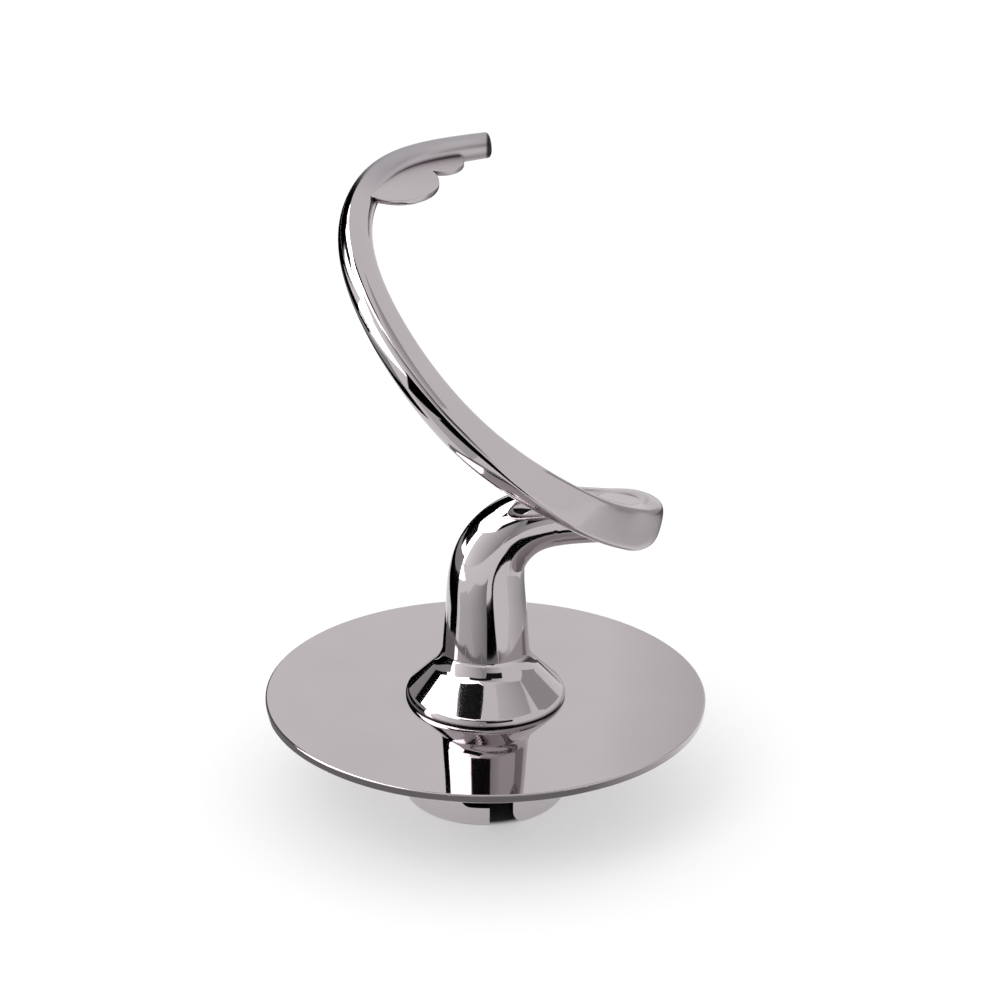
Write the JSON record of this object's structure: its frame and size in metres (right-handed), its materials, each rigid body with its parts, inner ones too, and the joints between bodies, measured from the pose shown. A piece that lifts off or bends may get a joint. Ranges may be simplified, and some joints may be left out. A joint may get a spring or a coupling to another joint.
{
  "type": "stand mixer dough hook",
  "caption": "Polished metal dough hook for a stand mixer: a spiral arm with a lobed tip web on a bent neck, a round dough shield and a bayonet drive hub.",
  "frame": {"origin": "on the drive axis at the mouth of the drive hub, which is the face it stands on", "axes": "+Z along the drive axis from the hub's mouth towards the hook's tip, -Y towards the bayonet slot and the picture's camera"},
  "size_m": [0.092, 0.092, 0.1369],
  "materials": {
    "polished_steel": "polished",
    "sheet_steel": "mirror polished sheet",
    "hub_steel": "polished, turned"
  },
  "bodies": {
    "root": {"hook": "polished_steel", "dough_shield": "sheet_steel", "drive_hub": "hub_steel"}
  },
  "joints": []
}
